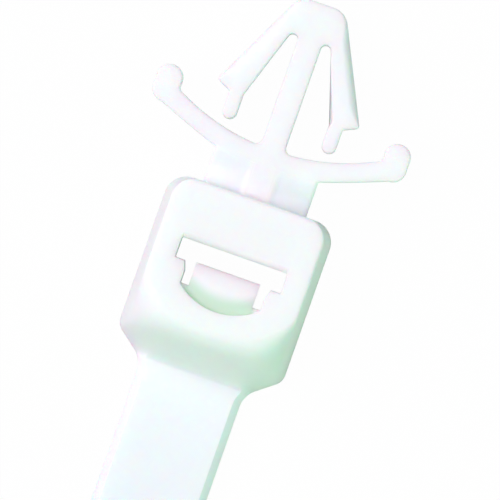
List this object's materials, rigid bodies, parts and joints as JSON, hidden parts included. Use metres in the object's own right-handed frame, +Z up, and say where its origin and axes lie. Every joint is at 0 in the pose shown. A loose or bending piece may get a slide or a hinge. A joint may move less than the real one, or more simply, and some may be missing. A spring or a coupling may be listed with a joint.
{
  "type": "push mount cable tie",
  "caption": "Cable tie with a toothed strap, a ratchet head and an arrowhead push mount with wings that snaps into a round panel hole.",
  "frame": {"origin": "under the middle of the tie's whole length and width, on the plane that the strap's back and the head's back lie on", "axes": "+X across the strap, +Y along the tie from the strap's end to the arrowhead's tip, +Z up from the toothed back to the smooth front"},
  "size_m": [0.0118, 0.2078, 0.0053],
  "materials": {
    "nylon": "satin"
  },
  "bodies": {
    "root": {"cable_tie": "nylon"}
  },
  "joints": []
}
